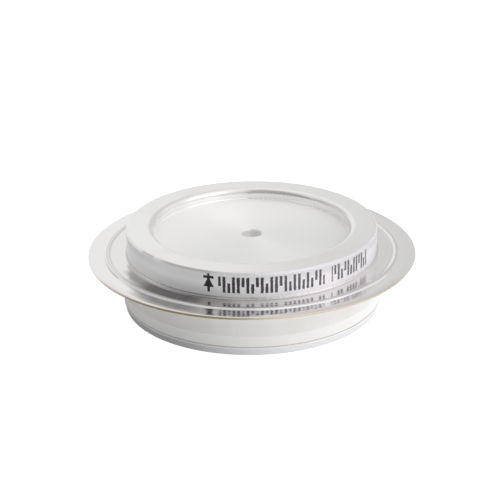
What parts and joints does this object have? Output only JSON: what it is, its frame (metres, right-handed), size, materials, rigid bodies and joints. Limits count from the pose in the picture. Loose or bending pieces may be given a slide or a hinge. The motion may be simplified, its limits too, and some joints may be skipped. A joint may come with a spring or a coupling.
{
  "type": "disc rectifier diode",
  "caption": "Disc press-pack rectifier diode with a recessed contact face at each end, a ceramic insulator ring and a thin weld flange round its middle.",
  "frame": {"origin": "centre of the plane that the rim of the anode pole stands on", "axes": "+Z along the axis of the disc, from the anode face up to the cathode face; X and Y are equivalent, and the picture's camera looks along +Y from above"},
  "size_m": [0.058, 0.058, 0.0146],
  "materials": {
    "nickel": "nickel plate on copper, satin on the contact faces and polished on the walls",
    "flange_metal": "bright nickel plate on copper sheet, bare copper at the trimmed rim",
    "braze": "silver-copper braze",
    "alumina": "white glazed alumina",
    "silver": "silver foil",
    "molybdenum": "ground molybdenum",
    "silicon": "polished silicon",
    "silicone": "cast silicone rubber",
    "locating_plastic": "fluoropolymer"
  },
  "bodies": {
    "root": {"anode_pole": "nickel", "base_braze_ring": "braze", "seal_ring": "flange_metal", "seal_braze_ring": "braze", "ceramic_ring": "alumina", "flange_braze_ring": "braze", "housing_flange": "flange_metal", "lid_flange": "flange_metal", "lid_braze_ring": "braze", "cathode_pole": "nickel", "anode_shim": "silver", "anode_disc": "molybdenum", "silicon_wafer": "silicon", "edge_seal": "silicone", "cathode_disc": "molybdenum", "cathode_shim": "silver", "locating_ring": "locating_plastic"}
  },
  "joints": []
}
